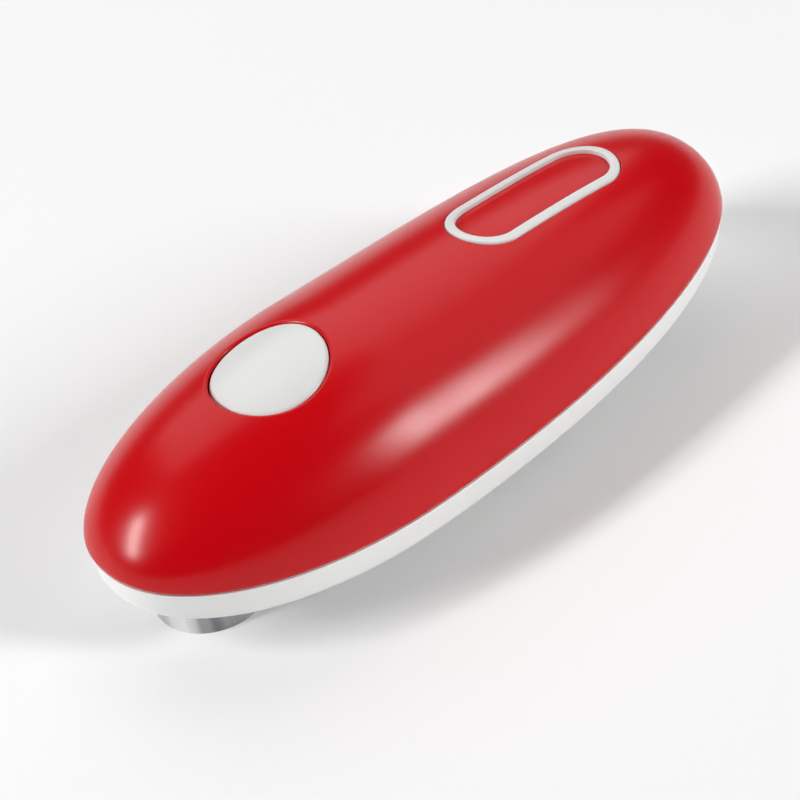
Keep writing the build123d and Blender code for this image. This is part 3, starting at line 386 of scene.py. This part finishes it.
# Chrome: its colour swings from dark to light in broad upright bands, painted reflections, shifted along X
# to place them.
CHROME = metal(
    "chrome",
    (0.14, 0.14, 0.15),
    (0.80, 0.80, 0.81),
    (0.06, 0.14),
    fineness=(1.0, 1.0, 0.02),
    scale=60.0,
    relief=0.001 * MM,
    spread=0.13,
    shift=142.0 * MM,
)
STEEL = metal("steel", (0.48, 0.49, 0.50), (0.62, 0.63, 0.65), (0.26, 0.4), fineness=(1.0, 14.0, 1.0))
BRONZE = metal("bronze", (0.42, 0.25, 0.10), (0.52, 0.33, 0.15), (0.35, 0.5))
BRASS = metal(
    "spring_brass",
    (0.55, 0.42, 0.18),
    (0.66, 0.52, 0.25),
    (0.25, 0.38),
    fineness=(1.0, 1.0, 12.0),
)
MAGNET = metal("magnet", (0.10, 0.10, 0.105), (0.16, 0.16, 0.165), (0.5, 0.65))
# Near-black metal for thin bars that are painted shade, standing in for the hollows of the driver slots and
# the pin slot.
RECESS_SHADE = metal("painted_recess_shade", (0.02, 0.02, 0.02), (0.05, 0.05, 0.05), (0.5, 0.7))

BY_SLOT = {
    "red_plastic": RED,
    "white_plastic": WHITE,
    "chrome": CHROME,
    "steel": STEEL,
    "bronze": BRONZE,
    "rubber": RUBBER,
    "acetal": ACETAL,
    "black_plastic": BLACK,
    "magnet": MAGNET,
    "cell_wrap": WRAP,
    "spring_brass": BRASS,
}


def paint_nodes():
    """Give every solid the material of its slot."""
    for entry in frame["record"]["subparts"]:
        node = frame["nodes"][entry["node"]]
        node.data.materials.clear()
        node.data.materials.append(BY_SLOT[entry["material_slot"]])


# Outlines and sections that follow the crown


def circle(radius):
    """Outline round the button's axis, and the axis for each of its points."""
    turns = [2 * pi * step / AROUND for step in range(AROUND)]
    outline = [(BUTTON_X + radius * cos(turn), radius * sin(turn)) for turn in turns]
    return outline, [(BUTTON_X, 0.0)] * AROUND


def racetrack(length, width):
    """Outline with straight sides and round ends, and the nearest places on its middle line."""
    radius = width / 2
    reach = length / 2 - radius
    ends = []
    for step in range(AROUND):
        turn = 2 * pi * step / AROUND
        side = 1.0 if cos(turn) >= 0 else -1.0
        ends.append((RING_X + side * reach + radius * cos(turn), radius * sin(turn)))
    outline = []
    for index, (x, y) in enumerate(ends):
        next_x, next_y = ends[(index + 1) % AROUND]
        pieces = max(1, round(abs(next_x - x) / STRAIGHT_STEP))
        for step in range(pieces):
            outline.append((x + (next_x - x) * step / pieces, y + (next_y - y) * step / pieces))
    middle = [(min(max(x, RING_X - reach), RING_X + reach), 0.0) for x, y in outline]
    return outline, middle


def quarter_round(radius, outward, height, start):
    """Points of a rounded edge, as (outward, height), turning from start by a quarter."""
    turns = [radians(start + 90.0 * step / EDGE_STEPS) for step in range(EDGE_STEPS + 1)]
    return [(outward + radius * cos(turn), height + radius * sin(turn)) for turn in turns]


def swept(outline, middle, profile):
    """Points and faces of a ring whose section is a list of (outward offset, height above the crown)."""
    points = []
    for outward, height in profile:
        for (x, y), (middle_x, middle_y) in zip(outline, middle):
            span = sqrt((x - middle_x) ** 2 + (y - middle_y) ** 2)
            far_x = x + (x - middle_x) / span * outward
            far_y = y + (y - middle_y) / span * outward
            points.append((far_x, far_y, crown_z(far_x, far_y) + height))
    return points, grid_faces(len(profile), len(outline), True)


# Red shell


def station_x(index, inset, low):
    """Place of a station along a level line of the crown, close together at the ends."""
    turn = -pi / 2 + pi * index / ALONG
    level = low / (CROWN_RISE - inset)
    if turn < 0:
        return WIDEST_X + (WIDEST_X - NOSE_X - inset) * share(level, NOSE_CROWN_POWER) * sin(turn)
    return WIDEST_X + (TAIL_X - WIDEST_X - inset) * share(level, TAIL_CROWN_POWER) * sin(turn)


def side_point(index, inset, low):
    """Point on the near side of the crown at one station, a little above the parting line."""
    x = station_x(index, inset, low)
    up = min(low / rise(x, inset), 1.0) if low > 0.0 else 0.0
    return x, -half_width(x, inset) * sqrt(1.0 - up * up), parting_z(x) + low


def crown_row(index, inset, edge):
    """Points over the crown at one station, from the near edge to the far edge, both edges rounded."""
    near = []
    for step in range(EDGE_STEPS):
        turn = pi / 2 * (1.0 - step / EDGE_STEPS)
        near.append(side_point(index, inset + edge * (1.0 - cos(turn)), edge * (1.0 - sin(turn))))
    x = station_x(index, inset, edge)
    half = half_width(x, inset)
    height = rise(x, inset)
    start = asin(min(edge / height, 1.0)) if edge > 0.0 else 0.0
    skin = []
    for step in range(ACROSS + 1):
        turn = start + (pi - 2 * start) * step / ACROSS
        skin.append((x, -half * cos(turn), parting_z(x) + height * sin(turn)))
    return near + skin + [(near_x, -near_y, near_z) for near_x, near_y, near_z in reversed(near)]


def crown_skin(inset, edge):
    """Grid of points on the crown, station by station from the nose to the tail."""
    points = []
    for index in range(ALONG + 1):
        points += crown_row(index, inset, edge)
    return points


def hollow_crown():
    """Points and faces of the crown's outer and inner skins and the rim that joins them."""
    columns = ACROSS + 1 + 2 * EDGE_STEPS
    outer = crown_skin(0.0, SHELL_EDGE)
    inner = crown_skin(WALL, 0.0)
    first_inner = len(outer)
    skin_faces = grid_faces(ALONG + 1, columns)
    faces = skin_faces + [tuple(first_inner + index for index in reversed(face)) for face in skin_faces]
    for row in range(ALONG):
        for column in (0, columns - 1):
            low = row * columns + column
            faces.append((low, low + columns, first_inner + low + columns, first_inner + low))
    return outer + inner, faces


def cut(piece, outline):
    """Cut an upright opening through the crown of a piece."""
    tool = new_piece("tool", *prism(outline, CUT_LOW_Z, CUT_HIGH_Z), None, RED)
    modifier = piece.modifiers.new("cut", "BOOLEAN")
    modifier.object = tool
    modifier.operation = "DIFFERENCE"
    modifier.solver = "EXACT"
    cut_mesh = bpy.data.meshes.new_from_object(piece.evaluated_get(bpy.context.evaluated_depsgraph_get()))
    piece.modifiers.clear()
    piece.data = cut_mesh
    bpy.data.objects.remove(tool)


def red_shell():
    """Crowned shell with the button's hole and the ring's pocket, both as wide as their rounded edges."""
    shell = new_piece("red_shell", *hollow_crown(), "case", RED)
    cut(shell, circle(HOLE_RADIUS + HOLE_LIP)[0])
    cut(shell, racetrack(POCKET_LENGTH + 2 * POCKET_LIP, POCKET_WIDTH + 2 * POCKET_LIP)[0])
    smooth(shell, CREASE_ANGLE)
    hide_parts("top_shell")


def lip(name, outline, middle, radius):
    """Rounded edge of the red shell round an opening, with its wall."""
    profile = [(radius, -WALL)] + quarter_round(radius, radius, -radius, 90.0) + [(0.0, -WALL)]
    piece = new_piece(name, *swept(outline, middle, profile), "case", RED)


def bare_panel():
    """Floor of the ring's pocket, in rings that grow from its middle line to its outline."""
    outline, middle = racetrack(POCKET_LENGTH, POCKET_WIDTH)
    points = []
    for ring in range(PANEL_RINGS + 1):
        part = ring / PANEL_RINGS
        for (x, y), (middle_x, middle_y) in zip(outline, middle):
            part_x = middle_x + (x - middle_x) * part
            part_y = middle_y + (y - middle_y) * part
            points.append((part_x, part_y, crown_z(part_x, part_y) - PANEL_DEPTH))
    faces = grid_faces(PANEL_RINGS + 1, len(outline), True)
    panel = new_piece("bare_panel", points, faces, "case", RED)


# White trim ring and push button


def white_ring():
    """Trim ring with both upper edges rounded."""
    profile = [(0.0, -RING_SEAT)]
    profile += quarter_round(RING_EDGE, -RING_EDGE, RING_PROUD - RING_EDGE, 0.0)
    profile += quarter_round(RING_EDGE, RING_EDGE - RING_BAND, RING_PROUD - RING_EDGE, 90.0)
    profile += [(-RING_BAND, -RING_SEAT)]
    ring = new_piece("white_ring", *swept(*racetrack(RING_LENGTH, RING_WIDTH), profile), "case", SHADED_WHITE_COPY)
    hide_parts("trim_ring")


def white_button():
    """Push button that follows the crown, leaning a little and falling away towards its rounded edge."""
    profile = [(0.0, -BUTTON_DEPTH)]
    profile += quarter_round(BUTTON_EDGE, -BUTTON_EDGE, BUTTON_PROUD - BUTTON_EDGE, 0.0)
    inner_radius = BUTTON_RADIUS - BUTTON_EDGE
    for step in range(1, BUTTON_RINGS + 1):
        profile.append((-BUTTON_EDGE - inner_radius * step / BUTTON_RINGS, BUTTON_PROUD))
    crown_points, faces = swept(*circle(BUTTON_RADIUS), profile)
    lean = tan(radians(BUTTON_LEAN))
    points = []
    for x, y, z in crown_points:
        out = ((x - BUTTON_X) ** 2 + y**2) / BUTTON_RADIUS**2
        points.append((x, y, z + (x - BUTTON_X) * lean - BUTTON_DOME * out))
    button = new_piece("white_button", points, faces, "button", SHADED_WHITE_COPY)
    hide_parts("push_button")


# Painted shade of the driver recesses in the screw heads, as dark bars, and grip ribs in the thumb scoop


def bar(at, length, width, face_z):
    """Points and faces of a thin bar that lies in a downward face."""
    x, y = at
    outline = [(x + side_x * length / 2, y + side_y * width / 2) for side_x, side_y in UNIT_SQUARE]
    return prism(outline, face_z - FACE_OVERLAP, face_z + FACE_OVERLAP)


def cross(at, length, face_z):
    """Two dark bars across each other, painted shade in place of the hollow of a cross-head driver slot."""
    return [bar(at, length, RECESS_WIDTH, face_z), bar(at, RECESS_WIDTH, length, face_z)]


def painted_screw_recess_shades():
    """Painted shade, as dark bars, for the driver recesses of the case screws and the head screws, on both
    sides.
    """
    recesses = []
    for side in (1.0, -1.0):
        for x, y in CASE_SCREWS:
            face_z = parting_z(x) - PAN_DEPTH + CASE_SCREW_RISE
            recesses += cross((x, side * y), CASE_RECESS, face_z)
        recesses += cross((HEAD_SCREW[0], side * HEAD_SCREW[1]), HEAD_RECESS, HEAD_SCREW_FACE_Z)
    new_piece("painted_screw_recess_shades", *joined(recesses), "case", RECESS_SHADE)


def painted_pin_slot_shade():
    """Painted shade, as a dark bar, for the slot in the head of the cutter pin."""
    slot = bar(CUTTER_PIN, RECESS_WIDTH, PIN_SLOT, CUTTER_PIN_FACE_Z)
    new_piece("painted_pin_slot_shade", *slot, "carrier", RECESS_SHADE)


def grip_rib(offset):
    """Points and faces of a low rounded rib across the thumb scoop, following its curve."""
    middle_z = parting_z(SCOOP_X) - PAN_DEPTH + SCOOP_DEPTH - SCOOP_RADIUS
    points = []
    for step in range(RIB_STEPS + 1):
        y = RIB_HALF_LENGTH * (2.0 * step / RIB_STEPS - 1.0)
        fade = sqrt(max(1.0 - (y / RIB_HALF_LENGTH) ** 2, 0.0))
        for round_step in range(RIB_ROUND_STEPS + 1):
            turn = pi * round_step / RIB_ROUND_STEPS
            x = offset + RIB_HALF_WIDTH * cos(turn)
            skin_z = middle_z + sqrt(SCOOP_RADIUS**2 - x**2 - y**2)
            points.append((SCOOP_X + x, y, skin_z + FACE_OVERLAP - RIB_PROUD * fade * sin(turn)))
    return points, grid_faces(RIB_STEPS + 1, RIB_ROUND_STEPS + 1)


def grip_ribs():
    """Ribs of the thumb scoop, side by side."""
    rows = joined([grip_rib(offset) for offset in RIB_OFFSETS])
    ribs = new_piece("grip_ribs", *rows, "cover", WHITE, RIB_CREASE_ANGLE)


# Stage, light and camera


def seen(tree):
    """Node that gives 1 to rays from the camera, a glossy surface or glass, and 0 to others."""
    path = tree.nodes.new("ShaderNodeLightPath")
    direct = tree.nodes.new("ShaderNodeMath")
    total = tree.nodes.new("ShaderNodeMath")
    total.use_clamp = True
    link(tree, path, "Is Camera Ray", direct, 0)
    link(tree, path, "Is Glossy Ray", direct, 1)
    link(tree, direct, "Value", total, 0)
    link(tree, path, "Is Transmission Ray", total, 1)
    return total


def times(tree, first, second):
    """Node that multiplies the results of two others."""
    product = tree.nodes.new("ShaderNodeMath")
    product.operation = "MULTIPLY"
    link(tree, first, 0, product, 0)
    link(tree, second, 0, product, 1)
    return product


def floor_paint():
    """White paint that keeps its tone in the far distance, where the lamps don't reach."""
    paint, tree, shader = new_material("floor_white")
    shader.inputs["Base Color"].default_value = FLOOR_TONE
    shader.inputs["Roughness"].default_value = FLOOR_ROUGHNESS
    place = tree.nodes.new("ShaderNodeTexCoord")
    distance = tree.nodes.new("ShaderNodeVectorMath")
    distance.operation = "LENGTH"
    fade = tree.nodes.new("ShaderNodeMapRange")
    fade.inputs["From Min"].default_value = HAZE_NEAR
    fade.inputs["From Max"].default_value = HAZE_FAR
    haze = tree.nodes.new("ShaderNodeEmission")
    haze.inputs["Color"].default_value = FLOOR_TONE
    mixed = tree.nodes.new("ShaderNodeMixShader")
    link(tree, place, "Object", distance, "Vector")
    link(tree, distance, "Value", fade, "Value")
    link(tree, times(tree, fade, seen(tree)), "Value", mixed, "Fac")
    link(tree, shader, "BSDF", mixed, 1)
    link(tree, haze, "Emission", mixed, 2)
    link(tree, mixed, "Shader", tree.nodes["Material Output"], "Surface")
    return paint


def pale_floor():
    """Wide pale floor under the object."""
    points = [(x * FLOOR_REACH, y * FLOOR_REACH, 0.0) for x, y in UNIT_SQUARE]
    mesh = bpy.data.meshes.new("floor")
    mesh.from_pydata(points, [], [(0, 1, 2, 3)])
    floor = bpy.data.objects.new("floor", mesh)
    bpy.context.collection.objects.link(floor)
    floor.data.materials.append(floor_paint())


def studio_world():
    """Plain studio air, lighter at the horizon than overhead, with a pale far wall."""
    world = bpy.data.worlds.new("studio")
    bpy.context.scene.world = world
    world.use_nodes = True
    tree = world.node_tree
    air = tree.nodes["Background"]
    air.inputs["Color"].default_value = (1.0, 1.0, 1.0, 1.0)
    direction = tree.nodes.new("ShaderNodeTexCoord")
    parts = tree.nodes.new("ShaderNodeSeparateXYZ")
    level = tree.nodes.new("ShaderNodeMapRange")
    level.inputs["From Max"].default_value = DARK_HEIGHT
    level.inputs["To Min"].default_value = HORIZON_LEVEL
    level.inputs["To Max"].default_value = ZENITH_LEVEL
    wall = tree.nodes.new("ShaderNodeMapRange")
    wall.inputs["From Min"].default_value = FAR_WALL_LOW
    wall.inputs["From Max"].default_value = FAR_WALL_HIGH
    wall.inputs["To Min"].default_value = FLOOR_LEVEL
    wall.inputs["To Max"].default_value = 0.0
    brighter = tree.nodes.new("ShaderNodeMath")
    brighter.operation = "MAXIMUM"
    link(tree, direction, "Generated", parts, "Vector")
    link(tree, parts, "Z", level, "Value")
    link(tree, parts, "Z", wall, "Value")
    link(tree, level, "Result", brighter, 0)
    link(tree, times(tree, wall, seen(tree)), "Value", brighter, 1)
    link(tree, brighter, "Value", air, "Strength")


def around(turn, height):
    """Place at the lamps' distance, by turn from +X and height above the floor in degrees."""
    turn = radians(turn)
    height = radians(height)
    x = LAMP_DISTANCE * cos(turn) * cos(height)
    y = LAMP_DISTANCE * sin(turn) * cos(height)
    return Vector((x, y, LAMP_DISTANCE * sin(height)))


def softbox(name, turn, height, size, power, roll=0.0):
    """Rectangular area lamp aimed at the object and rolled about its aim, in degrees."""
    lamp = bpy.data.lights.new(name, "AREA")
    lamp.shape = "RECTANGLE"
    lamp.size, lamp.size_y = size
    lamp.energy = power
    holder = bpy.data.objects.new(name, lamp)
    holder.location = around(turn, height)
    holder.rotation_mode = "QUATERNION"
    aimed = (Vector(LIGHT_AIM) - holder.location).to_track_quat("-Z", "Y")
    holder.rotation_quaternion = aimed @ Quaternion((0.0, 0.0, 1.0), radians(roll))
    holder.visible_camera = False
    bpy.context.collection.objects.link(holder)


def photo_camera():
    """Camera at the photograph's viewing angle."""
    view = bpy.data.cameras.new("photo_camera")
    view.sensor_width = SENSOR
    view.lens = FOCAL_PIXELS * SENSOR / FRAME_PIXELS
    view.clip_start = CLIP_START
    camera = bpy.data.objects.new("photo_camera", view)
    right = Vector(CAMERA_RIGHT).normalized()
    up = (Vector(CAMERA_UP) - right * right.dot(Vector(CAMERA_UP))).normalized()
    back = right.cross(up)
    turned = Matrix((right, up, back)).transposed().to_4x4()
    camera.matrix_world = Matrix.Translation(CAMERA_PLACE) @ turned
    bpy.context.collection.objects.link(camera)
    bpy.context.scene.camera = camera


paint_nodes()
red_shell()
lip("button_lip", *circle(HOLE_RADIUS), HOLE_LIP)
lip("panel_lip", *racetrack(POCKET_LENGTH, POCKET_WIDTH), POCKET_LIP)
bare_panel()
white_ring()
white_button()
painted_screw_recess_shades()
painted_pin_slot_shade()
grip_ribs()

pale_floor()
studio_world()
softbox("flank_box", turn=-60.2, height=26.4, size=(0.475, 1.0), power=46.0)
softbox("nose_box", turn=152.5, height=33.0, size=(0.31, 1.35), power=58.0, roll=42.0)
softbox("back_box", turn=60.0, height=50.0, size=(3.3, 2.1), power=35.0)
softbox("side_box", turn=-25.0, height=52.0, size=(1.6, 1.5), power=7.0)
photo_camera()
bpy.context.scene.view_settings.view_transform = "Standard"
